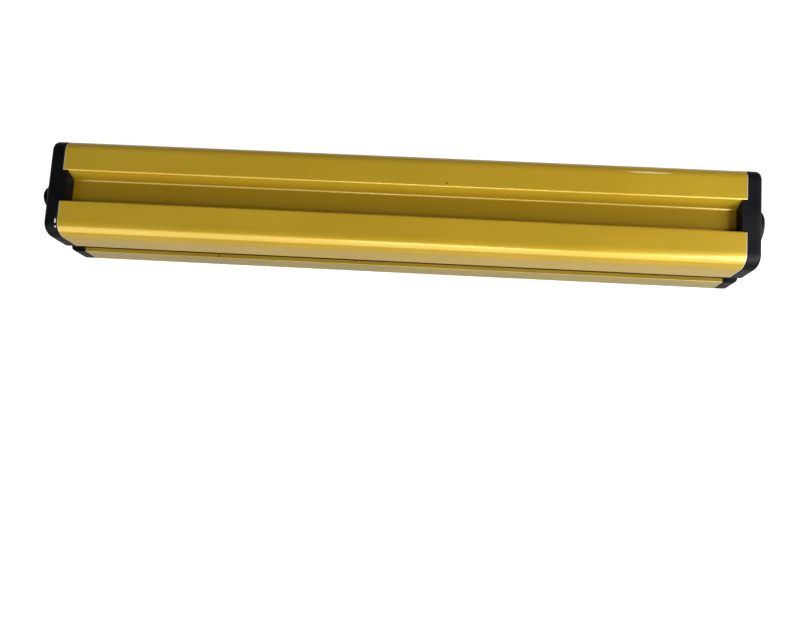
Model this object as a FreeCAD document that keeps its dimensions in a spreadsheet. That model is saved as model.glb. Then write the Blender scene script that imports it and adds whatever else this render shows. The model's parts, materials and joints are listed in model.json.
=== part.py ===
import FreeCAD, Part
import math
import os
import Sketcher

# Safety light curtain bar, lying on its front window with its back up.
# X runs along the bar, Y across it and Z from the front face to the back.
# The origin is the middle of the bar's length and width, on its front face.
# All sizes are in millimetres.

SIZES = [
    # Section of the extrusion
    ("body_width", 51.0),
    ("body_depth", 35.0),
    ("corner_radius", 6.5),
    ("wall", 2.0),
    ("channel_mouth", 16.5),
    ("channel_floor", 11.4),
    ("channel_depth", 6.0),
    ("channel_wall", 2.2),
    ("lip_radius", 1.0),
    ("foot_radius", 1.5),
    ("flank_height", 17.0),
    ("strip_height", 10.5),
    ("groove_depth", 3.5),
    ("groove_edge_radius", 0.5),
    ("hook_slot_width", 1.3),
    ("hook_slot_depth", 1.0),
    ("front_edge_radius", 1.0),
    ("front_lip_width", 7.5),
    ("front_lip", 1.2),
    ("window_rib", 1.2),
    ("rib_overlap", 2.4),
    ("rail_reach", 1.5),
    ("rail_thickness", 1.2),
    ("port_radius", 3.0),
    ("port_hole_radius", 1.45),
    ("back_port_inset", 7.9),
    ("back_port_cover", 4.6),
    ("front_port_inset", 7.1),
    ("front_port_up", 9.0),
    # Beams along the bar
    ("beam_count", 8),
    ("beam_pitch", 40.0),
    ("connector_end", 40.5),
    ("blind_end", 24.5),
    # Window and its seals
    ("window_margin", 4.8),
    ("window_thickness", 2.0),
    ("slot_clearance", 0.3),
    ("seal_thickness", 1.2),
    ("seal_width", 2.0),
    # End caps and gaskets
    ("gasket_thickness", 0.8),
    ("gasket_inset", 0.3),
    ("gasket_rim", 1.7),
    ("port_pad_radius", 3.1),
    ("cap_thickness", 7.0),
    ("cap_edge_radius", 2.6),
    ("cap_skin", 2.5),
    ("cap_rim", 2.6),
    ("hub_radius", 11.0),
    ("screw_boss_radius", 4.3),
    ("boss_radius", 10.5),
    ("boss_height", 4.9),
    ("boss_chamfer", 0.7),
    ("channel_key_length", 2.5),
    ("channel_key_clearance", 0.2),
    ("tongue_length", 5.0),
    ("tongue_thickness", 2.4),
    ("tongue_clearance", 0.3),
    # Cap screws
    ("cap_screw_radius", 1.4),
    ("cap_screw_clearance", 0.3),
    ("cap_screw_length", 12.0),
    ("cap_head_radius", 2.7),
    ("cap_head_height", 2.1),
    ("cap_head_clearance", 0.3),
    ("cap_head_depth", 2.5),
    # Round connector
    ("connector_recess_radius", 8.3),
    ("recess_in_plate", 1.5),
    ("flange_radius", 7.8),
    ("flange_thickness", 1.5),
    ("thread_radius", 6.0),
    ("thread_standout", 5.0),
    ("thread_chamfer", 0.5),
    ("thread_hole_clearance", 0.2),
    ("rear_stem", 9.0),
    ("shell_bore_radius", 4.6),
    ("insert_clearance", 0.1),
    ("socket_depth", 7.5),
    ("insert_tail", 1.2),
    ("key_width", 0.9),
    ("key_height", 0.7),
    ("key_length", 5.5),
    ("pin_radius", 0.4),
    ("pin_clearance", 0.05),
    ("pin_circle_radius", 2.75),
    ("pin_below_tip", 1.5),
    ("pin_tail", 2.0),
    ("seal_ring_radius", 7.6),
    ("seal_ring_bore", 6.3),
    ("seal_ring_thickness", 0.8),
    ("nut_across_flats", 15.0),
    ("nut_thickness", 2.5),
    # Main board
    ("board_thickness", 1.6),
    ("board_gap", 0.2),
    ("board_side_clearance", 0.4),
    ("board_start", 12.0),
    ("board_stop", 8.0),
    # Lens carrier, lenses and diodes
    ("carrier_gap", 1.2),
    ("carrier_margin", 12.0),
    ("carrier_front", 6.3),
    ("lens_radius", 7.0),
    ("lens_thickness", 3.4),
    ("lens_sphere_radius", 14.0),
    ("lens_apex_up", 5.1),
    ("lens_clearance", 0.1),
    ("well_front_radius", 6.2),
    ("well_back_radius", 3.2),
    ("well_depth", 6.4),
    ("pocket_length", 18.0),
    ("pocket_rim", 3.2),
    ("pocket_floor", 3.0),
    ("aperture_radius", 6.2),
    ("aperture_thickness", 0.8),
    ("diode_radius", 2.5),
    ("diode_length", 5.6),
    ("diode_flange_radius", 2.9),
    ("diode_flange_thickness", 0.9),
    ("carrier_screw_inset", 3.7),
    ("carrier_screw_radius", 0.9),
    ("carrier_screw_length", 6.0),
    ("carrier_head_radius", 1.9),
    ("carrier_head_height", 1.3),
    ("carrier_screw_clearance", 0.1),
    # Control board and what sits on the boards
    ("control_start", 44.0),
    ("control_length", 92.0),
    ("control_width", 24.0),
    ("control_thickness", 1.2),
    ("spacer_height", 2.6),
    ("spacer_radius", 1.8),
    ("spacer_inset", 3.5),
    ("control_screw_radius", 0.8),
    ("control_head_radius", 1.5),
    ("control_head_height", 0.9),
    ("header_length", 16.0),
    ("header_width", 4.0),
    ("header_inset", 8.0),
    ("controller_size", 9.0),
    ("controller_height", 1.4),
    ("controller_spacing", 20.0),
    ("amplifier_length", 5.0),
    ("amplifier_width", 4.0),
    ("amplifier_height", 1.6),
    ("amplifier_across", 7.0),
    ("capacitor_radius", 3.0),
    ("capacitor_height", 4.6),
    ("capacitor_spacing", 9.0),
    ("capacitor_gap", 8.0),
    # Lead ribbon and its plug
    ("plug_length", 6.0),
    ("plug_width", 10.0),
    ("plug_height", 4.2),
    ("plug_inset", 2.0),
    ("ribbon_width", 8.0),
    ("ribbon_thickness", 0.8),
    ("ribbon_bend_radius", 1.9),
    ("ribbon_up", 2.2),
    # Status lamps and light pipe
    ("lamp_count", 3),
    ("lamp_pitch", 5.0),
    ("lamp_start", 14.0),
    ("lamp_size", 2.0),
    ("lamp_height", 0.8),
    ("pipe_radius", 1.5),
    ("pipe_bar_thickness", 1.2),
    ("pipe_bar_width", 4.0),
    ("pipe_gap", 0.3),
]

doc = FreeCAD.newDocument("LightCurtainBar")
sheet = doc.addObject("Spreadsheet::Sheet", "Sizes")
sheet.Label = "Sizes"
for row, (name, value) in enumerate(SIZES, start=1):
    sheet.set("A%d" % row, name)
    sheet.set("B%d" % row, str(value))
    sheet.setAlias("B%d" % row, name)
doc.recompute()


class Measure:
    """A size worked out from the sheet, with the expression that gives it."""

    def __init__(self, value, text):
        self.value = value
        self.text = text

    def __add__(self, other):
        other = measure(other)
        return Measure(self.value + other.value, "(%s + %s)" % (self.text, other.text))

    def __radd__(self, other):
        return measure(other) + self

    def __sub__(self, other):
        other = measure(other)
        return Measure(self.value - other.value, "(%s - %s)" % (self.text, other.text))

    def __rsub__(self, other):
        return measure(other) - self

    def __neg__(self):
        return measure(0) - self

    def __mul__(self, factor):
        factor = measure(factor)
        return Measure(self.value * factor.value, "(%s * %s)" % (self.text, factor.text))

    def __rmul__(self, factor):
        return self * factor

    def __truediv__(self, divisor):
        divisor = measure(divisor)
        return Measure(self.value / divisor.value, "(%s / %s)" % (self.text, divisor.text))


def measure(number):
    """Turns a plain number into a Measure."""
    if isinstance(number, Measure):
        return number
    return Measure(float(number), "%.9g" % number)


def size(name):
    """The named size of the sheet."""
    return Measure(dict(SIZES)[name] * 1.0, "Sizes.%s" % name)


def bind(target, prop, length):
    """Sets a property to a measure and keeps it tied to the sheet."""
    target.setExpression(prop, measure(length).text)


# The connector makes the left end longer, so the extrusion sits half of that to the right
centre_x = size("thread_standout") / 2


def put(target, point=(0, 0, 0), turn=None, middle=centre_x):
    """Places an object at a point of three measures, after an optional turn. The point is
    taken from the middle of the extrusion, or from another middle where one is given."""
    target.Placement = FreeCAD.Placement(FreeCAD.Vector(0, 0, 0), turn or FreeCAD.Rotation())
    for axis, distance in zip("xyz", (point[0] + middle, point[1], point[2])):
        bind(target, "Placement.Base." + axis, distance)
    return target


# Turns used to stand a piece along an axis
HALF_TURN = FreeCAD.Rotation(FreeCAD.Vector(0, 0, 1), 180)
ALONG_X = FreeCAD.Rotation(FreeCAD.Vector(0, 1, 0), 90)
FACING_DOWN = FreeCAD.Rotation(FreeCAD.Vector(1, 0, 0), 180)

# Places across the section, worked out from the sizes
half_width = size("body_width") / 2
depth = size("body_depth")
wall = size("wall")
mouth_y = size("channel_mouth") / 2
foot_y = size("channel_floor") / 2
floor_z = depth - size("channel_depth")
boss_z = depth / 2
groove_low = size("strip_height")
groove_high = depth - size("flank_height")
groove_y = half_width - size("groove_depth")
side_y = half_width - wall
waist_y = groove_y - wall
ledge_z = groove_high + wall
back_z = depth - wall
underfloor_z = floor_z - wall
opening_y = half_width - size("front_lip_width")
window_y = half_width - size("window_margin")
slot_y = window_y + size("slot_clearance")
window_back = size("front_lip") + size("window_thickness")
slot_top = window_back + size("seal_thickness")
rib_y = slot_y - size("rib_overlap")
rib_top = slot_top + size("window_rib")
board_back = ledge_z + size("board_thickness")
rail_z = board_back + size("board_gap")
rail_y = side_y - size("rail_reach")
rail_top = rail_z + size("rail_thickness")

# Screw ports, seen from the end: two near the back, two near the front
back_port = (half_width - size("back_port_inset"), depth - size("back_port_cover"))
front_port = (half_width - size("front_port_inset"), size("front_port_up"))
PORTS = [back_port, front_port]

# The lens carrier fills the space between the front ports
carrier_y = front_port[0] - size("port_radius") - size("carrier_gap")
carrier_screw_y = carrier_y - size("carrier_screw_inset")

# Places along the bar
length = (size("beam_count") - 1) * size("beam_pitch") + size("connector_end") + size("blind_end")
half_length = length / 2
first_beam = size("connector_end") - half_length
beam_span = (size("beam_count") - 1) * size("beam_pitch")
cap_inner = half_length + size("gasket_thickness")
cap_outer = cap_inner + size("cap_thickness")
beams = int(dict(SIZES)["beam_count"])

NODES = []


def keep(piece):
    """Marks an object as a finished piece of the bar."""
    NODES.append(piece)
    return piece


# Sketches and bodies


def new_body(label):
    body = doc.addObject("PartDesign::Body", "Body_" + label)
    body.Label = label
    return body


def new_sketch(body, name, plane):
    """A sketch on one of the body's own origin planes."""
    sketch = body.newObject("Sketcher::SketchObject", body.Label + "_" + name)
    support = [f for f in body.Origin.OriginFeatures if f.Role == plane][0]
    sketch.AttachmentSupport = (support, [""])
    sketch.MapMode = "FlatFace"
    return sketch


def pin_point(sketch, line, end, point):
    """Fixes one end of a line, or a circle's centre, at a point of two measures."""
    kinds = ("DistanceX", "DistanceY")
    axes = (-2, -1)
    for kind, axis, distance in zip(kinds, axes, point):
        distance = measure(distance)
        if abs(distance.value) < 1e-9:
            sketch.addConstraint(Sketcher.Constraint("PointOnObject", line, end, axis))
            continue
        index = sketch.addConstraint(
            Sketcher.Constraint(kind, -1, 1, line, end, distance.value))
        sketch.setExpression("Constraints[%d]" % index, distance.text)


def outline(sketch, points):
    """Draws a closed outline of straight lines through points of two measures."""
    first = sketch.GeometryCount
    corners = [FreeCAD.Vector(measure(p[0]).value, measure(p[1]).value, 0) for p in points]
    count = len(corners)
    for i in range(count):
        sketch.addGeometry(Part.LineSegment(corners[i], corners[(i + 1) % count]), False)
    for i in range(count):
        following = first + (i + 1) % count
        sketch.addConstraint(Sketcher.Constraint("Coincident", first + i, 2, following, 1))
    for i in range(count):
        pin_point(sketch, first + i, 1, points[i])


def ring(sketch, centre, radius):
    """Draws a circle about a point of two measures."""
    middle = FreeCAD.Vector(measure(centre[0]).value, measure(centre[1]).value, 0)
    circle = Part.Circle(middle, FreeCAD.Vector(0, 0, 1), measure(radius).value)
    line = sketch.addGeometry(circle, False)
    pin_point(sketch, line, 3, centre)
    index = sketch.addConstraint(Sketcher.Constraint("Radius", line, measure(radius).value))
    sketch.setExpression("Constraints[%d]" % index, measure(radius).text)


def block(y_low, y_high, z_low, z_high):
    """The four corners of a rectangle."""
    return [(y_low, z_low), (y_high, z_low), (y_high, z_high), (y_low, z_high)]


def pad(body, sketch, name, thickness, symmetric=False, reverse=False, second=None):
    feature = body.newObject("PartDesign::Pad", body.Label + "_" + name)
    feature.Profile = sketch
    feature.SideType = "Symmetric" if symmetric else "One side"
    if second is not None:
        feature.SideType = "Two sides"
        bind(feature, "Length2", second)
    feature.Reversed = reverse
    bind(feature, "Length", thickness)
    return feature


def pocket(body, sketch, name, thickness=None, reverse=False, symmetric=False):
    """Cuts to a depth, or through everything where no depth is given."""
    feature = body.newObject("PartDesign::Pocket", body.Label + "_" + name)
    feature.Profile = sketch
    feature.SideType = "Symmetric" if symmetric else "One side"
    feature.Reversed = reverse
    if thickness is None:
        feature.Type = "ThroughAll"
    else:
        bind(feature, "Length", thickness)
    return feature


def mirror(body, name, features):
    """Repeats features on the other side of the body's middle plane."""
    feature = body.newObject("PartDesign::Mirrored", body.Label + "_" + name)
    feature.Originals = features
    plane = [f for f in body.Origin.OriginFeatures if f.Role == "XZ_Plane"][0]
    feature.MirrorPlane = (plane, [""])
    body.Tip = feature
    return feature


def row_of(body, sketch, name, features, span, count):
    """Repeats features along the sketch's first axis."""
    feature = body.newObject("PartDesign::LinearPattern", body.Label + "_" + name)
    feature.Originals = features
    feature.Direction = (sketch, ["H_Axis"])
    bind(feature, "Length", span)
    bind(feature, "Occurrences", count)
    body.Tip = feature
    return feature


def long_edges(base, corners):
    """Names of the edges along X that pass through the given corners of the section."""
    found = []
    for number, edge in enumerate(base.Shape.Edges, start=1):
        if not isinstance(edge.Curve, Part.Line) or abs(edge.Curve.Direction.x) < 0.999:
            continue
        middle = edge.BoundBox.Center
        for y, z in corners:
            if abs(abs(middle.y) - measure(y).value) < 1e-3 and abs(middle.z - measure(z).value) < 1e-3:
                found.append("Edge%d" % number)
    return found


def round_edges(body, name, radius, corners):
    """Rounds the long edges at the given corners of the section."""
    doc.recompute()
    base = body.Tip
    feature = body.newObject("PartDesign::Fillet", body.Label + "_" + name)
    feature.Base = (base, long_edges(base, corners))
    bind(feature, "Radius", radius)
    body.Tip = feature
    return feature


# Primitives for small pieces


def cylinder(name, radius, height, place, turn=None, middle=centre_x):
    solid = doc.addObject("Part::Cylinder", name)
    bind(solid, "Radius", radius)
    bind(solid, "Height", height)
    return put(solid, place, turn, middle)


def box(name, sides, place, middle=centre_x):
    """A box with its lowest corner at the place."""
    solid = doc.addObject("Part::Box", name)
    for prop, side in zip(("Length", "Width", "Height"), sides):
        bind(solid, prop, side)
    return put(solid, place, None, middle)


def middle_box(name, sides, centre, middle=centre_x):
    """A box centred in X and Y on a point, standing on it in Z."""
    x, y, z = centre
    return box(name, sides, (x - sides[0] / 2, y - sides[1] / 2, z), middle)


def fuse(name, solids):
    joined = doc.addObject("Part::MultiFuse", name)
    joined.Shapes = solids
    return joined


def cut(name, base, tool):
    rest = doc.addObject("Part::Cut", name)
    rest.Base = base
    rest.Tool = tool
    return rest


def group(label, solids):
    """Separate solids that share one node."""
    together = doc.addObject("Part::Compound", "Group_" + label)
    together.Label = label
    together.Links = solids
    return keep(together)


def single(label, solid):
    solid.Label = label
    return keep(solid)


# Housing extrusion


def outside(inset):
    """Half of the bar's outer outline, moved into the material by an inset."""
    return [
        (measure(0), floor_z - inset),
        (foot_y + inset, floor_z - inset),
        (mouth_y + inset, depth - inset),
        (half_width - inset, depth - inset),
        (half_width - inset, groove_high + inset),
        (groove_y - inset, groove_high + inset),
        (groove_y - inset, groove_low - inset),
        (half_width - inset, groove_low - inset),
        (half_width - inset, measure(0) + inset),
    ]


def window_slot_side():
    """The wall's outline from the front edge round the window slot to the cavity."""
    return [
        (opening_y, measure(0)),
        (opening_y, size("front_lip")),
        (slot_y, size("front_lip")),
        (slot_y, slot_top),
        (rib_y, slot_top),
        (rib_y, rib_top),
        (side_y, rib_top),
    ]


def cavity_side():
    """The wall's outline up the inside, past the board's ledge and rail, to the middle."""
    return [
        (side_y, groove_low - wall),
        (waist_y, groove_low - wall),
        (waist_y, ledge_z),
        (side_y, ledge_z),
        (side_y, rail_z),
        (rail_y, rail_z),
        (rail_y, rail_top),
        (side_y, rail_top),
        (side_y, back_z),
        (mouth_y + size("channel_wall"), back_z),
        (foot_y + size("channel_wall"), underfloor_z),
        (measure(0), underfloor_z),
    ]


def make_housing():
    body = new_body("housing_extrusion")
    section = new_sketch(body, "section", "YZ_Plane")
    outline(section, outside(measure(0)) + window_slot_side() + cavity_side())
    walls = pad(body, section, "walls", length, symmetric=True)
    mirror(body, "both_walls", [walls])
    round_edges(body, "corners", size("corner_radius"), [(half_width, depth)])
    round_edges(body, "inner_corners", size("corner_radius") - wall, [(side_y, back_z)])
    round_edges(body, "lips", size("lip_radius"), [(mouth_y, depth)])
    round_edges(body, "feet", size("foot_radius"), [(foot_y, floor_z)])
    round_edges(body, "groove_edges", size("groove_edge_radius"),
                [(half_width, groove_high), (half_width, groove_low)])
    round_edges(body, "front_edges", size("front_edge_radius"), [(half_width, measure(0))])
    port_sketch = new_sketch(body, "port_sketch", "YZ_Plane")
    hole_sketch = new_sketch(body, "hole_sketch", "YZ_Plane")
    for port in PORTS:
        ring(port_sketch, port, size("port_radius"))
        ring(hole_sketch, port, size("port_hole_radius"))
    ports = pad(body, port_sketch, "ports", length, symmetric=True)
    mirror(body, "both_ports", [ports])
    holes = pocket(body, hole_sketch, "holes", symmetric=True)
    mirror(body, "both_holes", [holes])
    cut_hook_slots(body)
    put(body)
    return keep(body)


def cut_hook_slots(body):
    """Slots in the inner corners of the side grooves, which a bracket's hook catches."""
    sketch = new_sketch(body, "hook_slots", "YZ_Plane")
    outer_y = groove_y + size("hook_slot_width")
    outline(sketch, block(groove_y, outer_y, groove_low - size("hook_slot_depth"), groove_low))
    outline(sketch, block(groove_y, outer_y, groove_high, groove_high + size("hook_slot_depth")))
    slots = pocket(body, sketch, "hook_slot_cut", symmetric=True)
    mirror(body, "both_hook_slots", [slots])


# Window and seals


def make_window():
    window = middle_box("Window", (length, window_y * 2, size("window_thickness")),
                        (0, 0, size("front_lip")))
    single("front_window", window)
    seal_y = slot_y - size("slot_clearance") - size("seal_width")
    sides = (length, size("seal_width"), size("seal_thickness"))
    single("window_seal_near", box("SealNear", sides, (-half_length, -seal_y - size("seal_width"), window_back)))
    single("window_seal_far", box("SealFar", sides, (-half_length, seal_y, window_back)))


# Gaskets and end caps. Each is built outwards along X from its inner face.


def end_place(outward):
    """Place and turn of a piece that grows from the end of the bar, left or right."""
    def place(piece, side):
        if side == "left":
            return put(piece, (-outward, 0, 0), HALF_TURN)
        return put(piece, (outward, 0, 0))
    return place


def make_gasket(label, side):
    body = new_body(label)
    inset = size("gasket_inset")
    rim = inset + size("gasket_rim")
    outer = new_sketch(body, "outer", "YZ_Plane")
    outline(outer, outside(inset) + [(measure(0), inset)])
    plate = pad(body, outer, "plate", size("gasket_thickness"))
    inner = new_sketch(body, "inner", "YZ_Plane")
    outline(inner, outside(rim) + [(measure(0), rim)])
    middle = pocket(body, inner, "middle", reverse=True)
    mirror(body, "other_half", [plate, middle])
    round_edges(body, "inner_corners", size("corner_radius") - rim, [(half_width - rim, depth - rim)])
    round_edges(body, "corners", size("corner_radius") - inset, [(half_width - inset, depth - inset)])
    pads = new_sketch(body, "pads", "YZ_Plane")
    holes = new_sketch(body, "holes", "YZ_Plane")
    for port in PORTS:
        ring(pads, port, size("port_pad_radius"))
        ring(holes, port, size("cap_screw_radius") + size("cap_screw_clearance"))
    port_pads = pad(body, pads, "port_pads", size("gasket_thickness"))
    mirror(body, "both_pads", [port_pads])
    screw_holes = pocket(body, holes, "screw_holes", reverse=True)
    mirror(body, "both_holes", [screw_holes])
    end_place(half_length)(body, side)
    return keep(body)


def make_cap(label, side, has_connector):
    body = new_body(label)
    thickness = size("cap_thickness")
    screw_hole = size("cap_screw_radius") + size("cap_screw_clearance")
    head_hole = size("cap_head_radius") + size("cap_head_clearance")

    outer = new_sketch(body, "outer", "YZ_Plane")
    outline(outer, closed_back() + [(measure(0), measure(0))])
    plate = pad(body, outer, "plate", thickness)
    mirror(body, "other_half", [plate])
    round_edges(body, "corners", size("corner_radius"), [(half_width, depth)])
    round_outer_face(body, thickness, size("cap_edge_radius"))
    round_edges(body, "front_edges", size("front_edge_radius"), [(half_width, measure(0))])

    boss_sketch = new_sketch(body, "boss_sketch", "YZ_Plane")
    ring(boss_sketch, (0, boss_z), size("boss_radius"))
    pad(body, boss_sketch, "boss", thickness + size("boss_height"))
    chamfer_boss(body, thickness + size("boss_height"))

    core_inside(body)
    add_channel_key(body)
    add_tongues(body)

    holes = new_sketch(body, "holes", "YZ_Plane")
    heads = new_sketch(body, "heads", "YZ_Plane")
    heads.AttachmentOffset = FreeCAD.Placement(FreeCAD.Vector(0, 0, 0), FreeCAD.Rotation())
    bind(heads, "AttachmentOffset.Base.z", thickness - size("cap_head_depth"))
    for port in PORTS:
        ring(holes, port, screw_hole)
        ring(heads, port, head_hole)
    through = pocket(body, holes, "through", reverse=True)
    sinks = pocket(body, heads, "sinks", reverse=True)
    mirror(body, "screw_holes", [through, sinks])

    if has_connector:
        seat = thickness - size("recess_in_plate")
        recess = new_sketch(body, "recess", "YZ_Plane")
        bind(recess, "AttachmentOffset.Base.z", seat)
        ring(recess, (0, boss_z), size("connector_recess_radius"))
        pocket(body, recess, "recess_cut", reverse=True)
        stem = new_sketch(body, "stem", "YZ_Plane")
        ring(stem, (0, boss_z), size("thread_radius") + size("thread_hole_clearance"))
        pocket(body, stem, "stem_hole", reverse=True)
    end_place(cap_inner)(body, side)
    return keep(body)


def closed_back():
    """Half of the bar's outer outline with the back channel filled, as the cap has it."""
    return [(measure(0), depth)] + outside(measure(0))[3:]


def round_outer_face(body, height, radius):
    """Rounds the rim of the cap's outer face, except inside the grooves and at the front."""
    doc.recompute()
    base = body.Tip
    names = []
    for number, edge in enumerate(base.Shape.Edges, start=1):
        middle = edge.CenterOfMass
        if abs(middle.x - height.value) > 1e-3 or edge.BoundBox.XLength > 1e-3:
            continue
        in_groove = groove_low.value - 0.01 < middle.z < groove_high.value + 0.01
        at_front = middle.z < 0.5 * size("front_edge_radius").value
        if not (in_groove or at_front):
            names.append("Edge%d" % number)
    feature = body.newObject("PartDesign::Fillet", body.Label + "_rim")
    feature.Base = (base, names)
    bind(feature, "Radius", radius)
    body.Tip = feature


def chamfer_boss(body, height):
    """Breaks the boss's outer edge."""
    doc.recompute()
    base = body.Tip
    names = []
    for number, edge in enumerate(base.Shape.Edges, start=1):
        if abs(edge.CenterOfMass.x - height.value) < 1e-3 and isinstance(edge.Curve, Part.Circle):
            names.append("Edge%d" % number)
    feature = body.newObject("PartDesign::Chamfer", body.Label + "_boss_edge")
    feature.Base = (base, names)
    bind(feature, "Size", size("boss_chamfer"))
    body.Tip = feature


def core_inside(body):
    """Hollows the cap from its inner face, round the hub and the screw bosses."""
    hollow = size("cap_thickness") - size("cap_skin")
    core = new_sketch(body, "core", "YZ_Plane")
    rim = size("cap_rim")
    outline(core, outside(rim) + [(measure(0), rim)])
    cored = pocket(body, core, "cored", hollow, reverse=True)
    mirror(body, "cored_both", [cored])
    hub = new_sketch(body, "hub", "YZ_Plane")
    ring(hub, (0, boss_z), size("hub_radius"))
    pad(body, hub, "hub_pad", size("cap_thickness") - size("cap_skin") / 2)
    bosses = new_sketch(body, "bosses", "YZ_Plane")
    for port in PORTS:
        ring(bosses, port, size("screw_boss_radius"))
    boss_pad = pad(body, bosses, "boss_pad", size("cap_thickness") - size("cap_skin"))
    mirror(body, "boss_pads", [boss_pad])


def add_channel_key(body):
    """The key that closes the end of the back channel, flush with the lands beside it."""
    gap = size("channel_key_clearance")
    key_sketch = new_sketch(body, "channel_key", "YZ_Plane")
    outline(key_sketch, [(measure(0), floor_z + gap), (foot_y - gap, floor_z + gap),
                         (mouth_y - gap, depth), (measure(0), depth)])
    key = pad(body, key_sketch, "channel_key_pad", size("gasket_thickness") + size("channel_key_length"),
              reverse=True)
    mirror(body, "channel_key_both", [key])
    round_edges(body, "channel_key_feet", size("foot_radius") - gap, [(foot_y - gap, floor_z + gap)])


def add_tongues(body):
    """Two tongues that locate the cap between the waists of the extrusion."""
    outer_y = waist_y - size("tongue_clearance")
    inner_y = outer_y - size("tongue_thickness")
    low = front_port[1] + size("port_pad_radius") + size("tongue_clearance")
    high = groove_high
    sketch = new_sketch(body, "tongue", "YZ_Plane")
    outline(sketch, block(inner_y, outer_y, low, high))
    tongue = pad(body, sketch, "tongue_pad", size("tongue_length") + size("gasket_thickness"),
                 reverse=True, second=None)
    root = new_sketch(body, "tongue_root", "YZ_Plane")
    outline(root, block(inner_y, outer_y, low, high))
    anchor = pad(body, root, "tongue_anchor", size("cap_thickness") - size("cap_skin"))
    mirror(body, "tongues", [tongue, anchor])


# Screws


def screw(name, shank_radius, shank_length, head_radius, head_height, place, turn=None):
    """A pan head screw whose shank starts at the place and runs along Z before its turn.
    The head stands on the other side of the place and has a cross recess."""
    slot = head_radius * 0.28
    own = measure(0)
    shank = cylinder(name + "_shank", shank_radius, shank_length, (0, 0, 0), None, own)
    head = cylinder(name + "_head", head_radius, head_height, (0, 0, -head_height), None, own)
    whole = fuse(name + "_blank", [shank, head])
    bars = []
    for arm, sides in (("a", (head_radius * 1.2, slot, head_height / 2)),
                       ("b", (slot, head_radius * 1.2, head_height / 2))):
        bars.append(middle_box(name + "_bar_" + arm, sides, (0, 0, -head_height), own))
    cross = fuse(name + "_cross", bars)
    finished = cut(name, whole, cross)
    return put(finished, place, turn)


def make_cap_screws(label, side):
    """Four screws whose heads sit in the cap's sinks."""
    sign = -1 if side == "left" else 1
    seat = (cap_outer - size("cap_head_depth")) * sign
    turn = FreeCAD.Rotation(FreeCAD.Vector(0, 1, 0), -90 * sign)
    screws = []
    for number, (y, z) in enumerate(PORTS):
        for hand in (-1, 1):
            name = "%s_%d_%s" % (label, number, "near" if hand < 0 else "far")
            screws.append(screw(name, size("cap_screw_radius"), size("cap_screw_length"),
                                size("cap_head_radius"), size("cap_head_height"),
                                (seat, y * hand, z), turn))
    return group(label, screws)


# Round connector in the left boss. Its seat is the floor of the recess, and it points to -X.


def turned(label, points):
    """A piece turned about its own X axis from a half section of (x, radius) points."""
    body = new_body(label)
    sketch = new_sketch(body, "half_section", "XZ_Plane")
    outline(sketch, points)
    feature = body.newObject("PartDesign::Revolution", label + "_turn")
    feature.Profile = sketch
    feature.ReferenceAxis = (sketch, ["H_Axis"])
    feature.Angle = 360
    return body


def connector_place(piece, outward):
    """Places a piece on the connector's axis, a distance outwards from its seat."""
    seat = cap_outer - size("recess_in_plate") + outward
    return put(piece, (-seat, 0, boss_z), HALF_TURN)


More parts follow.
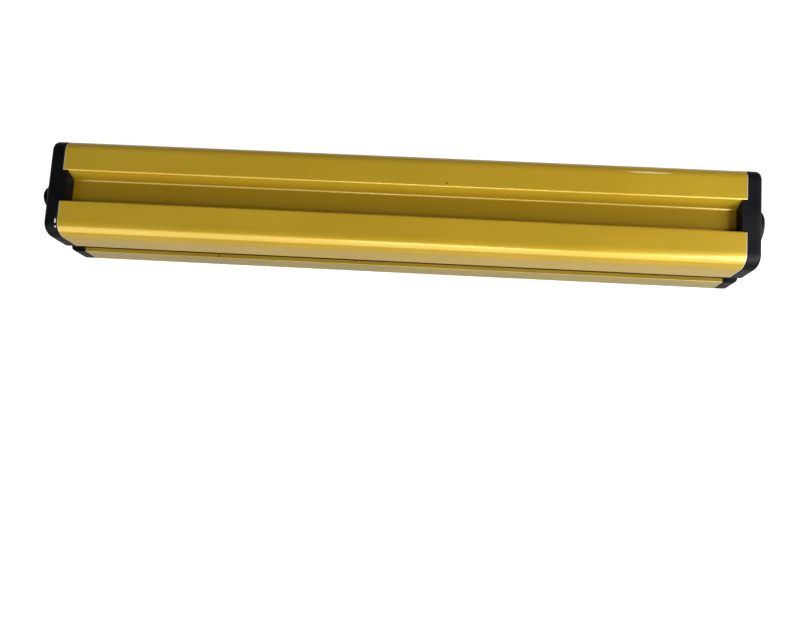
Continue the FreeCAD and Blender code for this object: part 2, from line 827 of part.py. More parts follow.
def make_connector():
    tip = size("recess_in_plate") + size("boss_height") + size("thread_standout")
    stem = size("rear_stem")
    bore = size("shell_bore_radius")
    thread = size("thread_radius")
    flange = size("flange_radius")

    # The half section starts at the rear end of the stem
    back = stem + size("seal_ring_thickness")
    front = back + size("flange_thickness")
    shell = turned("connector_shell", [
        (measure(0), bore), (stem + tip, bore), (stem + tip, thread - size("thread_chamfer")),
        (stem + tip - size("thread_chamfer"), thread), (front, thread), (front, flange),
        (back, flange), (back, thread), (measure(0), thread)])
    connector_place(shell, -stem)
    keep(shell)

    face = tip - size("socket_depth")
    tail = stem + size("insert_tail")
    insert = new_body("connector_insert")
    round_sketch = new_sketch(insert, "round", "YZ_Plane")
    ring(round_sketch, (0, 0), bore - size("insert_clearance"))
    pad(insert, round_sketch, "plug", tail + face)
    key = new_sketch(insert, "key", "YZ_Plane")
    key_low = bore - size("insert_clearance") - size("key_height") * 1.3
    key_high = key_low + size("key_height")
    outline(key, block(measure(0), size("key_width") / 2, key_low, key_high))
    key_pad = pad(insert, key, "key_pad", tail + face + size("key_length"))
    mirror(insert, "key_both", [key_pad])
    middle_hole = new_sketch(insert, "middle_hole", "YZ_Plane")
    ring(middle_hole, (0, 0), size("pin_radius") + size("pin_clearance"))
    pocket(insert, middle_hole, "middle_cut", reverse=True)
    one_hole = new_sketch(insert, "one_hole", "YZ_Plane")
    ring(one_hole, (0, size("pin_circle_radius")), size("pin_radius") + size("pin_clearance"))
    hole_cut = pocket(insert, one_hole, "hole_cut", reverse=True)
    around = insert.newObject("PartDesign::PolarPattern", "connector_insert_around")
    around.Originals = [hole_cut]
    axis = [f for f in insert.Origin.OriginFeatures if f.Role == "X_Axis"][0]
    around.Axis = (axis, [""])
    around.Angle = 360
    around.Occurrences = OUTER_PINS
    insert.Tip = around
    connector_place(insert, -tail)
    keep(insert)

    pin_length = tail + size("pin_tail") + tip - size("pin_below_tip")
    pin_end = tip - size("pin_below_tip")
    seat = cap_outer - size("recess_in_plate")
    pins = []
    spots = [(0.0, 0.0)]
    for k in range(OUTER_PINS):
        angle = 2 * math.pi * k / OUTER_PINS
        spots.append((math.sin(angle), math.cos(angle)))
    for k, (across, up) in enumerate(spots):
        place = (-seat - pin_end, size("pin_circle_radius") * across,
                 boss_z + size("pin_circle_radius") * up)
        pins.append(cylinder("Pin%d" % k, size("pin_radius"), pin_length, place, ALONG_X))
    group("connector_pins", pins)

    seal = new_body("connector_seal")
    seal_ring = new_sketch(seal, "ring", "YZ_Plane")
    ring(seal_ring, (0, 0), size("seal_ring_radius"))
    ring(seal_ring, (0, 0), size("seal_ring_bore"))
    pad(seal, seal_ring, "ring_pad", size("seal_ring_thickness"))
    connector_place(seal, measure(0))
    keep(seal)

    nut = new_body("connector_lock_nut")
    hexagon = new_sketch(nut, "hexagon", "YZ_Plane")
    corner = size("nut_across_flats") / (2 * math.cos(math.pi / 6))
    turns = [math.pi / 3 * k for k in range(6)]
    outline(hexagon, [(corner * math.sin(a), corner * math.cos(a)) for a in turns])
    pad(nut, hexagon, "blank", size("nut_thickness"))
    thread_hole = new_sketch(nut, "thread_hole", "YZ_Plane")
    ring(thread_hole, (0, 0), thread + size("pin_clearance"))
    pocket(nut, thread_hole, "thread_cut", reverse=True)
    put(nut, (-cap_inner, 0, boss_z))
    keep(nut)


OUTER_PINS = 7

# Boards and optics


def make_main_board():
    start = size("board_start") - half_length
    span = length - size("board_start") - size("board_stop")
    width = (side_y - size("board_side_clearance")) * 2
    blank = box("MainBoardBlank", (span, width, size("board_thickness")), (start, -width / 2, ledge_z))
    holes = []
    radius = size("carrier_screw_radius") + size("carrier_screw_clearance")
    for number, (x, y) in enumerate(carrier_screw_spots()):
        holes.append(cylinder("BoardHole%d" % number, radius, size("board_thickness"), (x, y, ledge_z)))
    single("main_board", cut("MainBoard", blank, fuse("BoardHoles", holes)))


def beam_x(number):
    """Where a beam crosses the bar's length."""
    return first_beam + size("beam_pitch") * number


def carrier_screw_spots():
    """A pair of screws beside the first, a middle and the last well."""
    spots = []
    for number in sorted({0, beams // 2, beams - 1}):
        for hand in (-1, 1):
            spots.append((beam_x(number), carrier_screw_y * hand))
    return spots


def make_lens_carrier():
    """A moulded bar with a stepped and tapered well for each beam and pockets between them."""
    body = new_body("lens_carrier")
    front = size("carrier_front")
    height = ledge_z - front
    blank_sketch = new_sketch(body, "end_view", "YZ_Plane")
    outline(blank_sketch, block(measure(0), carrier_y, measure(0), height))
    blank = pad(body, blank_sketch, "blank", beam_span + size("carrier_margin"),
                second=size("carrier_margin"))
    mirror(body, "blank_both", [blank])

    lens_seat = size("lens_apex_up") + size("lens_thickness") - front
    seat_radius = size("lens_radius") + size("lens_clearance")
    cone_top = lens_seat + size("well_depth")
    well_sketch = new_sketch(body, "well_sketch", "XZ_Plane")
    outline(well_sketch, [
        (measure(0), measure(0)), (seat_radius, measure(0)), (seat_radius, lens_seat),
        (size("well_front_radius"), lens_seat), (size("well_back_radius"), cone_top),
        (size("well_back_radius"), height), (measure(0), height)])
    well = body.newObject("PartDesign::Groove", "lens_carrier_well")
    well.Profile = well_sketch
    well.ReferenceAxis = (well_sketch, ["V_Axis"])
    well.Angle = 360
    row_of(body, well_sketch, "wells", [well], beam_span, size("beam_count"))

    pocket_sketch = new_sketch(body, "pocket_sketch", "XY_Plane")
    bind(pocket_sketch, "AttachmentOffset.Base.z", size("pocket_floor") + lens_seat)
    low = (size("beam_pitch") - size("pocket_length")) / 2
    outline(pocket_sketch, block(low, low + size("pocket_length"), measure(0), carrier_y - size("pocket_rim")))
    hollow = pocket(body, pocket_sketch, "hollow", reverse=True)
    mirrored = mirror(body, "hollow_both", [hollow])
    if beams > 2:
        pattern = body.newObject("PartDesign::MultiTransform", "lens_carrier_pockets")
        pattern.Originals = [hollow]
        across = doc.addObject("PartDesign::Mirrored", "lens_carrier_across")
        across.MirrorPlane = mirrored.MirrorPlane
        along = doc.addObject("PartDesign::LinearPattern", "lens_carrier_along")
        along.Direction = (pocket_sketch, ["H_Axis"])
        bind(along, "Length", beam_span - size("beam_pitch"))
        bind(along, "Occurrences", size("beam_count") - 1)
        pattern.Transformations = [across, along]
        body.removeObject(mirrored)
        doc.removeObject(mirrored.Name)
        body.Tip = pattern

    holes = new_sketch(body, "screw_holes", "XY_Plane")
    bind(holes, "AttachmentOffset.Base.z", height - size("carrier_screw_length"))
    hole_radius = size("carrier_screw_radius") + size("pin_clearance")
    for number in sorted({0, beams // 2, beams - 1}):
        ring(holes, (size("beam_pitch") * number, carrier_screw_y), hole_radius)
    drilled = pocket(body, holes, "drilled", reverse=True)
    mirror(body, "drilled_both", [drilled])
    put(body, (first_beam, 0, front))
    return keep(body)


def make_lens(number):
    """A plano-convex lens with its dome towards the window."""
    apex = (beam_x(number), 0, size("lens_apex_up"))
    ball = doc.addObject("Part::Sphere", "LensBall%d" % number)
    bind(ball, "Radius", size("lens_sphere_radius"))
    put(ball, (apex[0], 0, apex[2] + size("lens_sphere_radius")))
    rim = cylinder("LensRim%d" % number, size("lens_radius"), size("lens_thickness"), apex)
    lens = doc.addObject("Part::Common", "Lens%d" % number)
    lens.Base = rim
    lens.Tool = ball
    return single("lens_%d" % (number + 1), lens)


def make_diode(number):
    """A round diode on the board's front side, pointing down its well."""
    x = beam_x(number)
    straight = size("diode_length") - size("diode_radius")
    stem = cylinder("DiodeStem%d" % number, size("diode_radius"), straight, (x, 0, ledge_z - straight))
    flange = cylinder("DiodeFlange%d" % number, size("diode_flange_radius"),
                      size("diode_flange_thickness"), (x, 0, ledge_z - size("diode_flange_thickness")))
    dome = doc.addObject("Part::Sphere", "DiodeDome%d" % number)
    bind(dome, "Radius", size("diode_radius"))
    put(dome, (x, 0, ledge_z - straight))
    return single("diode_%d" % (number + 1), fuse("Diode%d" % number, [stem, flange, dome]))


def make_aperture_strip():
    """A thin strip in front of the carrier that keeps the lenses in their seats."""
    span = beam_span + size("carrier_margin") * 2
    thick = size("aperture_thickness")
    blank = box("ApertureBlank", (span, carrier_y * 2, thick),
                (first_beam - size("carrier_margin"), -carrier_y,
                 size("carrier_front") - thick))
    holes = []
    for number in range(beams):
        place = (beam_x(number), 0, size("carrier_front") - thick)
        holes.append(cylinder("Aperture%d" % number, size("aperture_radius"), thick, place))
    single("aperture_strip", cut("ApertureStrip", blank, fuse("Apertures", holes)))


def make_carrier_screws():
    screws = []
    reach = size("board_thickness") + size("carrier_screw_length") - size("pin_clearance")
    for number, (x, y) in enumerate(carrier_screw_spots()):
        screws.append(screw("CarrierScrew%d" % number, size("carrier_screw_radius"), reach,
                            size("carrier_head_radius"), size("carrier_head_height"),
                            (x, y, board_back), FACING_DOWN))
    group("carrier_screws", screws)


# Control board


control_x = size("control_start") - half_length
control_z = board_back + size("spacer_height")
control_back = control_z + size("control_thickness")


def control_corners():
    """The four places where the control board is screwed to its spacers."""
    inset = size("spacer_inset")
    across = size("control_width") / 2 - inset
    spots = []
    for x in (control_x + inset, control_x + size("control_length") - inset):
        for hand in (-1, 1):
            spots.append((x, across * hand))
    return spots


def make_control_board():
    board_width = size("control_width")
    hole_radius = size("control_screw_radius") + size("pin_clearance")
    blank = box("ControlBlank", (size("control_length"), board_width, size("control_thickness")),
                (control_x, -board_width / 2, control_z))
    holes = []
    spacers = []
    screws = []
    for number, (x, y) in enumerate(control_corners()):
        holes.append(cylinder("ControlHole%d" % number, hole_radius, size("control_thickness"), (x, y, control_z)))
        tube = cylinder("SpacerTube%d" % number, size("spacer_radius"), size("spacer_height"), (x, y, board_back))
        bore = cylinder("SpacerBore%d" % number, hole_radius, size("spacer_height"), (x, y, board_back))
        spacers.append(cut("Spacer%d" % number, tube, bore))
        reach = size("control_thickness") + size("spacer_height") - size("pin_clearance")
        screws.append(screw("ControlScrew%d" % number, size("control_screw_radius"), reach,
                            size("control_head_radius"), size("control_head_height"),
                            (x, y, control_back), FACING_DOWN))
    single("control_board", cut("ControlBoard", blank, fuse("ControlHoles", holes)))
    group("control_board_spacers", spacers)
    group("control_board_screws", screws)

    header = middle_box("Header", (size("header_length"), size("header_width"), size("spacer_height")),
                        (control_x + size("header_inset") + size("header_length") / 2, 0, board_back))
    single("board_header", header)

    chips = []
    middle = control_x + size("control_length") / 2
    for hand in (-1, 1):
        sides = (size("controller_size"), size("controller_size"), size("controller_height"))
        chips.append(middle_box("Controller%d" % (hand + 1), sides,
                                (middle + size("controller_spacing") / 2 * hand, 0,
                                 control_z - size("controller_height"))))
    group("controller_chips", chips)


def make_board_parts():
    """Amplifier chips and capacitors on the back of the main board."""
    chips = []
    sides = (size("amplifier_length"), size("amplifier_width"), size("amplifier_height"))
    for number in range(beams):
        place = (beam_x(number), side_y - size("amplifier_across"), board_back)
        chips.append(middle_box("Amplifier%d" % number, sides, place))
    group("amplifier_chips", chips)
    cans = []
    start = control_x + size("control_length") + size("capacitor_gap")
    for number in range(2):
        place = (start + size("capacitor_spacing") * number, 0, board_back)
        cans.append(cylinder("Capacitor%d" % number, size("capacitor_radius"), size("capacitor_height"), place))
    group("capacitors", cans)


def make_status_lamps():
    """Lamps on the front of the main board, with a clear pipe for each down to the window."""
    lamps = []
    rods = []
    start = size("lamp_start") - half_length
    pipe_front = window_back + size("pipe_gap")
    pipe_back = ledge_z - size("lamp_height") - size("pipe_gap")
    for number in range(int(dict(SIZES)["lamp_count"])):
        x = start + size("lamp_pitch") * number
        lamps.append(middle_box("Lamp%d" % number, (size("lamp_size"), size("lamp_size"), size("lamp_height")),
                                (x, 0, ledge_z - size("lamp_height"))))
        rods.append(cylinder("PipeRod%d" % number, size("pipe_radius"), pipe_back - pipe_front, (x, 0, pipe_front)))
    group("status_lamps", lamps)
    width = (size("lamp_count") - 1) * size("lamp_pitch") + size("pipe_radius") * 2
    bar = box("PipeBar", (width, size("pipe_bar_width"), size("pipe_bar_thickness")),
              (start - size("pipe_radius"), -size("pipe_bar_width") / 2, pipe_back - size("pipe_bar_thickness")))
    single("light_pipe", fuse("LightPipe", rods + [bar]))


# Lead ribbon: straight, up through two bends, straight into the plug


def make_lead():
    plug_x = size("board_start") + size("plug_inset") - half_length
    plug = middle_box("LeadPlug", (size("plug_length"), size("plug_width"), size("plug_height")),
                      (plug_x + size("plug_length") / 2, 0, board_back))
    single("lead_plug", plug)

    seat = cap_outer - size("recess_in_plate")
    start = (-seat + size("rear_stem") + size("insert_tail") + size("pin_tail") + size("pin_clearance") * 2).value
    end = (plug_x - size("pin_clearance")).value
    low = boss_z.value
    high = (board_back + size("ribbon_up")).value
    bend = size("ribbon_bend_radius").value
    middle = (start + (plug_x - size("plug_inset")).value) / 2
    # Each point is (x, z) on the ribbon's centre line
    first = (start, low)
    riser = (middle, low)
    top = (middle, high)
    last = (end, high)
    edges = [
        line_between(first, (riser[0] - bend, low)),
        bend_between((riser[0] - bend, low), (middle, low + bend), (riser[0] - bend, low + bend), -45),
        line_between((middle, low + bend), (middle, high - bend)),
        bend_between((middle, high - bend), (middle + bend, high), (middle + bend, high - bend), 135),
        line_between((top[0] + bend, high), last),
    ]
    path = Part.Wire(edges)
    half_wide = size("ribbon_width").value / 2
    half_thick = size("ribbon_thickness").value / 2
    corners = [FreeCAD.Vector(start, y, low + z) for y, z in
               ((-half_wide, -half_thick), (half_wide, -half_thick), (half_wide, half_thick),
                (-half_wide, half_thick), (-half_wide, -half_thick))]
    ribbon = doc.addObject("Part::Feature", "LeadRibbon")
    ribbon.Shape = path.makePipeShell([Part.makePolygon(corners)], True, False)
    put(ribbon)
    single("lead_ribbon", ribbon)


def line_between(a, b):
    return Part.LineSegment(FreeCAD.Vector(a[0], 0, a[1]), FreeCAD.Vector(b[0], 0, b[1])).toShape()


def bend_between(a, b, centre, degrees):
    """A quarter bend between two points, passing the point at an angle about its centre."""
    radius = math.hypot(a[0] - centre[0], a[1] - centre[1])
    angle = math.radians(degrees)
    through = FreeCAD.Vector(centre[0] + radius * math.cos(angle), 0, centre[1] + radius * math.sin(angle))
    return Part.Arc(FreeCAD.Vector(a[0], 0, a[1]), through, FreeCAD.Vector(b[0], 0, b[1])).toShape()


# Build every piece

make_housing()
make_window()
make_gasket("connector_cap_gasket", "left")
make_gasket("blind_cap_gasket", "right")
make_cap("connector_end_cap", "left", True)
make_cap("blind_end_cap", "right", False)
make_cap_screws("connector_cap_screws", "left")
make_cap_screws("blind_cap_screws", "right")
make_connector()
make_lead()
make_main_board()
make_lens_carrier()
for beam in range(beams):
    make_lens(beam)
    make_diode(beam)
make_aperture_strip()
make_carrier_screws()
make_control_board()
make_board_parts()
make_status_lamps()

doc.recompute()

# Check every object, then write each piece

for item in doc.Objects:
    if "Invalid" in item.State or "Error" in item.State:
        raise RuntimeError("%s is not valid: %s" % (item.Label, item.State))
for piece in NODES:
    if piece.Shape.isNull() or not piece.Shape.isValid():
        raise RuntimeError("%s has no valid shape" % piece.Label)

os.makedirs("parts", exist_ok=True)
for piece in NODES:
    piece.Shape.exportStep("parts/%s.step" % piece.Label)
    print("%-24s %9.1f mm3, %d solids" % (piece.Label, piece.Shape.Volume, len(piece.Shape.Solids)))
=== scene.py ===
import json
import math

import bmesh
import bpy
from mathutils import Matrix, Vector


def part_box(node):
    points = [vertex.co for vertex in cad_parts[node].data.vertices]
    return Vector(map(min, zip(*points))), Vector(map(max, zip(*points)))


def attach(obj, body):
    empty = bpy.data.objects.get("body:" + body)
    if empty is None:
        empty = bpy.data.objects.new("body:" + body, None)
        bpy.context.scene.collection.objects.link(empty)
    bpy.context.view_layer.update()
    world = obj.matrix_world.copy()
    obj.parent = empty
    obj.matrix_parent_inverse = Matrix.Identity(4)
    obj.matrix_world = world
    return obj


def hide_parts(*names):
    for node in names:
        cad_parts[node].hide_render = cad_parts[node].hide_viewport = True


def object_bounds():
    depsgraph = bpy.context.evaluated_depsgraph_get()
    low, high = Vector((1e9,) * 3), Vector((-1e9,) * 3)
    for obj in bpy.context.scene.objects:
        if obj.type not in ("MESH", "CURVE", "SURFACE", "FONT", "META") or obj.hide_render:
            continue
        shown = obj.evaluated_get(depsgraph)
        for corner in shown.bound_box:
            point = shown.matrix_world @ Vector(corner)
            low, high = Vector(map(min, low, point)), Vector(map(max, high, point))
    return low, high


# Safety light curtain bar lying on its front window, seen from above and a little from one side.
# All lengths are in metres, in the same frame as the solids.

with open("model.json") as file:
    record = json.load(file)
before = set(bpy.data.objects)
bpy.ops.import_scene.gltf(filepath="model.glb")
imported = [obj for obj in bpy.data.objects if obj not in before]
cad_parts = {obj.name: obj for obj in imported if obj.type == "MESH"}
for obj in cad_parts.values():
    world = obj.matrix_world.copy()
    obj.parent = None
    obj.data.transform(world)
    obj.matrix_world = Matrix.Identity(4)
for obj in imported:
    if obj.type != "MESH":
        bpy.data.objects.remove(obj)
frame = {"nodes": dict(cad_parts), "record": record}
cad_low, cad_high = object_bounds()
MM = 0.001


# Sizes

housing_low, housing_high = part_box("housing_extrusion")
shell_low, shell_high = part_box("connector_shell")
seal_low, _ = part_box("connector_seal")
_, insert_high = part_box("connector_insert")
LEFT_END = housing_low.x
RIGHT_END = housing_high.x
BACK = housing_high.z

# Back channel, with painted shade that grows darker towards its floor
CHANNEL_HALF_WIDTH = 8.3 * MM
CHANNEL_LIP = BACK - 0.6 * MM
CHANNEL_FLOOR = BACK - 6.0 * MM

# Lower flanges beside the window, darkened with painted shade
FLANGE_TOP = 10.7 * MM

# Hook slots below and above each side groove, filled with painted shade
SLOT_INNER = 21.9 * MM
SLOT_OUTER = 23.35 * MM
SLOT_HEIGHTS = [(9.3 * MM, 10.45 * MM), (18.05 * MM, 19.2 * MM)]

# Bare metal at the cut ends: the least and the most that it reaches along the housing
BARE_REACH = (0.15 * MM, 0.5 * MM)

# Connector shell
THREAD_RADIUS = 6.0 * MM
THREAD_PITCH = 1.0 * MM
THREAD_DEPTH = 0.55 * MM
THREAD_ROOT_SHARE = 0.25
THREAD_FLANK_SHARE = 0.6
COLLAR_THICKNESS = 1.5 * MM
SHELL_BORE = insert_high.y + 0.1 * MM
SHELL_BEVEL = 0.25 * MM
SHELL_STEPS = 72
RINGS_PER_TURN = 10
SHARP_ANGLE = math.radians(32)
WELD_DISTANCE = 0.001 * MM


# Colours and marks


def rgb(red, green, blue):
    """A colour as the screen shows it, from 0 to 255, turned into linear light."""
    def linear(value):
        value = value / 255
        return value / 12.92 if value <= 0.04045 else ((value + 0.055) / 1.055) ** 2.4
    return (linear(red), linear(green), linear(blue), 1.0)


WHITE = rgb(255, 255, 255)
PAINT_DEEP = rgb(182, 148, 33)
PAINT_LIGHT = rgb(189, 155, 38)
PAINT_PALE = rgb(195, 165, 58)
# Painted shade colours for the back channel and the hook slots
CHANNEL_SHADE = rgb(142, 112, 12)
SLOT_SHADE = rgb(62, 48, 8)
PAINT_SHEEN = (1.0, 0.86, 0.35, 1.0)
# Painted shade colours for the lower flanges
FLANGE_SHADE_DEEP = rgb(150, 126, 40)
FLANGE_SHADE_LIGHT = rgb(158, 136, 54)
# Painted highlight colour
PAINTED_HIGHLIGHT = rgb(240, 226, 165)
BARE_METAL = rgb(190, 184, 160)
SPECK = rgb(60, 48, 20)
PALE_SPOT = rgb(225, 225, 205)

# Small marks that the photograph shows: the middle and the three half sizes of each, in millimetres
PAINT_SPECKS = [
    ((-95.7, -24.4, 10.5), (0.7, 0.7, 0.7)),
    ((-21.1, -23.5, 10.5), (0.6, 0.6, 0.6)),
    ((26.6, 9.9, 35.0), (0.6, 0.5, 0.5)),
]
# Painted highlight: a pale streak along the far top edge standing in for a reflection
HIGHLIGHT_STREAKS = [
    ((127.0, 20.0, 34.9), (13.0, 0.45, 1.0)),
]
CAP_PALE_SPOTS = [
    ((-171.1, -19.0, 35.0), (0.4, 1.5, 0.8)),
    ((-171.1, -21.8, 34.4), (0.4, 0.5, 0.8)),
]
HIGHLIGHT_STRENGTH = 0.9
SPOT_CORE = 0.6  # share of a mark's half size before it starts to fade

ACRYLIC_IOR = 1.49

# Shares of a noise between which most of its values lie
NOISE_LOW = 0.3
NOISE_HIGH = 0.7

# Places of the sockets on a Mix node that mixes colours
MIX_FACTOR, MIX_FIRST, MIX_SECOND, MIX_RESULT = 0, 6, 7, 2


# Node trees


class NodeTree:
    """Short calls for adding nodes to the tree of a material or a world and joining them."""

    def __init__(self, owner):
        owner.use_nodes = True
        self.tree = owner.node_tree

    def add(self, kind, **settings):
        node = self.tree.nodes.new(kind)
        for key, value in settings.items():
            setattr(node, key, value)
        return node

    def link(self, source, target):
        self.tree.links.new(source, target)

    def put(self, target, value):
        """Sets a socket to a value or joins it to another socket."""
        if isinstance(value, bpy.types.NodeSocket):
            self.link(value, target)
        else:
            target.default_value = value

    def math(self, operation, first, second=0.0, third=0.0):
        node = self.add("ShaderNodeMath", operation=operation)
        for target, value in zip(node.inputs, (first, second, third)):
            self.put(target, value)
        return node.outputs[0]

    def ramp(self, value, low, high, start=NOISE_LOW, end=NOISE_HIGH):
        """Goes smoothly from low to high while a value goes from start to end."""
        node = self.add("ShaderNodeMapRange", interpolation_type="SMOOTHSTEP")
        self.put(node.inputs["Value"], value)
        self.put(node.inputs["From Min"], start)
        self.put(node.inputs["From Max"], end)
        self.put(node.inputs["To Min"], low)
        self.put(node.inputs["To Max"], high)
        return node.outputs["Result"]

    def between(self, value, low, high):
        """One where a value lies between two limits, else nothing."""
        above = self.math("GREATER_THAN", value, low)
        return self.math("MULTIPLY", above, self.math("LESS_THAN", value, high))

    def mix(self, factor, first, second):
        node = self.add("ShaderNodeMix", data_type="RGBA")
        self.put(node.inputs[MIX_FACTOR], factor)
        self.put(node.inputs[MIX_FIRST], first)
        self.put(node.inputs[MIX_SECOND], second)
        return node.outputs[MIX_RESULT]

    def drift(self, value, first, second, start=NOISE_LOW, end=NOISE_HIGH):
        """Goes smoothly from one colour to another while a value goes from start to end."""
        return self.mix(self.ramp(value, 0.0, 1.0, start, end), first, second)


class Shader(NodeTree):
    """A new material with one Principled surface."""

    def __init__(self, name):
        self.material = bpy.data.materials.new(name)
        super().__init__(self.material)
        self.surface = self.tree.nodes["Principled BSDF"]

    def set(self, **values):
        """Sets or joins sockets of the surface, with their spaces written as underscores."""
        for name, value in values.items():
            self.put(self.surface.inputs[name.replace("_", " ")], value)

    def position(self):
        """The place on the object, in metres, whole and as its X, Y and Z."""
        place = self.add("ShaderNodeTexCoord").outputs["Object"]
        parts = self.add("ShaderNodeSeparateXYZ")
        self.link(place, parts.inputs[0])
        return place, parts.outputs

    def noise(self, place, scale, detail=2.0, stretch=(1, 1, 1), roughness=0.5):
        """Noise with about scale waves a metre, more where stretch is above one."""
        spread = self.add("ShaderNodeMapping")
        self.put(spread.inputs["Vector"], place)
        self.put(spread.inputs["Scale"], stretch)
        node = self.add("ShaderNodeTexNoise")
        self.put(node.inputs["Vector"], spread.outputs[0])
        self.put(node.inputs["Scale"], scale)
        self.put(node.inputs["Detail"], detail)
        self.put(node.inputs["Roughness"], roughness)
        return node.outputs["Fac"]

    def bump(self, height, distance, strength, after=None):
        """Relief of a height, laid over other relief where that is given."""
        node = self.add("ShaderNodeBump")
        self.put(node.inputs["Height"], height)
        self.put(node.inputs["Distance"], distance)
        self.put(node.inputs["Strength"], strength)
        if after is not None:
            self.put(node.inputs["Normal"], after)
        return node.outputs["Normal"]

    def spot(self, point, middle, radii):
        """One inside an egg-shaped space of a size in millimetres, fading to nothing at its edge."""
        total = 0.0
        for axis, centre, radius in zip(point, middle, radii):
            offset = self.math("SUBTRACT", axis, centre * MM)
            away = self.math("MULTIPLY", offset, 1 / (radius * MM))
            total = self.math("MULTIPLY_ADD", away, away, total)
        return self.ramp(self.math("SQRT", total), 1.0, 0.0, SPOT_CORE, 1.0)


# Materials


def yellow_paint():
    """Satin yellow coat with faint lines along the extrusion and bare metal at the cut ends, with
    painted shade in the back channel, the hook slots and on the lower flanges, and a painted highlight
    streak on the far top edge.
    """
    paint = Shader("yellow_paint")
    place, point = paint.position()
    x, y, z = point
    aside = paint.math("ABSOLUTE", y)

    cloud = paint.noise(place, scale=14.0, stretch=(1, 2.5, 2.5))
    lines = paint.noise(place, scale=60.0, stretch=(0.02, 22, 22))
    colour = paint.drift(cloud, PAINT_DEEP, PAINT_LIGHT, start=0.35, end=0.65)
    pale = paint.ramp(lines, low=0.0, high=0.16, start=0.45, end=0.75)
    colour = paint.mix(pale, colour, PAINT_PALE)

    # Painted shade in the back channel: the colour darkens towards the channel floor
    inside = paint.math("LESS_THAN", aside, CHANNEL_HALF_WIDTH)
    below = paint.ramp(z, low=1.0, high=0.0, start=CHANNEL_FLOOR, end=CHANNEL_LIP)
    colour = paint.mix(paint.math("MULTIPLY", inside, below), colour, CHANNEL_SHADE)

    from_left = paint.math("SUBTRACT", x, LEFT_END)
    from_right = paint.math("SUBTRACT", RIGHT_END, x)
    reach = paint.ramp(paint.noise(place, scale=900.0), *BARE_REACH, start=0.0, end=1.0)
    bare = paint.math("LESS_THAN", paint.math("MINIMUM", from_left, from_right), reach)
    colour = paint.mix(bare, colour, BARE_METAL)

    # Painted shade on the lower flanges: a darker, duller colour below FLANGE_TOP
    low = paint.math("LESS_THAN", z, FLANGE_TOP)
    colour = paint.mix(low, colour, paint.drift(cloud, FLANGE_SHADE_DEEP, FLANGE_SHADE_LIGHT))
    # Painted shade in the hook slots: a near-black brown where shade falls
    in_slot = paint.between(aside, SLOT_INNER, SLOT_OUTER)
    for bottom, top in SLOT_HEIGHTS:
        slot_shade_mask = paint.math("MULTIPLY", in_slot, paint.between(z, bottom, top))
        colour = paint.mix(slot_shade_mask, colour, SLOT_SHADE)

    for middle, radii in PAINT_SPECKS:
        colour = paint.mix(paint.spot(point, middle, radii), colour, SPECK)
    # Painted highlight: pale streaks standing in for a reflection on the far top edge
    for middle, radii in HIGHLIGHT_STREAKS:
        highlight_spot = paint.math("MULTIPLY", paint.spot(point, middle, radii), HIGHLIGHT_STRENGTH)
        colour = paint.mix(highlight_spot, colour, PAINTED_HIGHLIGHT)

    peel = paint.noise(place, scale=260.0, detail=1.0, stretch=(0.8, 1, 1))
    draw = paint.noise(place, scale=90.0, detail=1.0, stretch=(0.01, 5, 5))
    relief = paint.bump(peel, distance=0.02 * MM, strength=0.2)
    paint.set(
        Base_Color=colour,
        Roughness=paint.ramp(lines, low=0.28, high=0.30),
        Metallic=0.28,
        Specular_IOR_Level=0.8,
        Specular_Tint=PAINT_SHEEN,
        Coat_Weight=0.8,
        Coat_Roughness=0.14,
        Normal=paint.bump(draw, distance=0.03 * MM, strength=0.3, after=relief),
    )
    return paint.material


def black_plastic():
    """Moulded black plastic with a fine grain, a slight wave and two small pale spots at the left joint.
    """
    plastic = Shader("black_plastic")
    place, point = plastic.position()
    cloud = plastic.noise(place, scale=90.0, detail=3.0)
    colour = plastic.drift(cloud, rgb(8, 9, 11), rgb(14, 16, 19))
    for middle, radii in CAP_PALE_SPOTS:
        colour = plastic.mix(plastic.spot(point, middle, radii), colour, PALE_SPOT)
    wave = plastic.noise(place, scale=160.0)
    grain = plastic.noise(place, scale=2600.0)
    relief = plastic.bump(wave, distance=0.12 * MM, strength=0.35)
    plastic.set(
        Base_Color=colour,
        Roughness=plastic.ramp(cloud, low=0.34, high=0.44),
        Specular_IOR_Level=0.12,
        Normal=plastic.bump(grain, distance=0.02 * MM, strength=0.5, after=relief),
    )
    return plastic.material


def rubber(name, colour, other):
    """Matt rubber with a fine uneven skin."""
    matt = Shader(name)
    place, _ = matt.position()
    skin = matt.noise(place, scale=1500.0)
    matt.set(
        Base_Color=matt.drift(skin, colour, other),
        Roughness=matt.ramp(skin, low=0.62, high=0.8),
        Normal=matt.bump(skin, distance=0.02 * MM, strength=0.4),
    )
    return matt.material


def metal(name, colour, other, smooth, rough):
    """Metal with fine machining lines, between two colours and two roughnesses."""
    bright = Shader(name)
    place, _ = bright.position()
    marks = bright.noise(place, scale=900.0, detail=3.0, stretch=(0.2, 1, 1), roughness=0.6)
    bright.set(
        Base_Color=bright.drift(marks, colour, other),
        Roughness=bright.ramp(marks, smooth, rough),
        Metallic=1.0,
        Normal=bright.bump(marks, distance=0.012 * MM, strength=0.4),
    )
    return bright.material


def plain_plastic(name, colour, other, smooth, rough):
    """Small moulded parts: a slight drift between two colours and a faint grain."""
    part = Shader(name)
    place, _ = part.position()
    cloud = part.noise(place, scale=400.0, detail=3.0)
    grain = part.noise(place, scale=2400.0)
    part.set(
        Base_Color=part.drift(cloud, colour, other),
        Roughness=part.ramp(cloud, smooth, rough),
        Normal=part.bump(grain, distance=0.01 * MM, strength=0.4),
    )
    return part.material


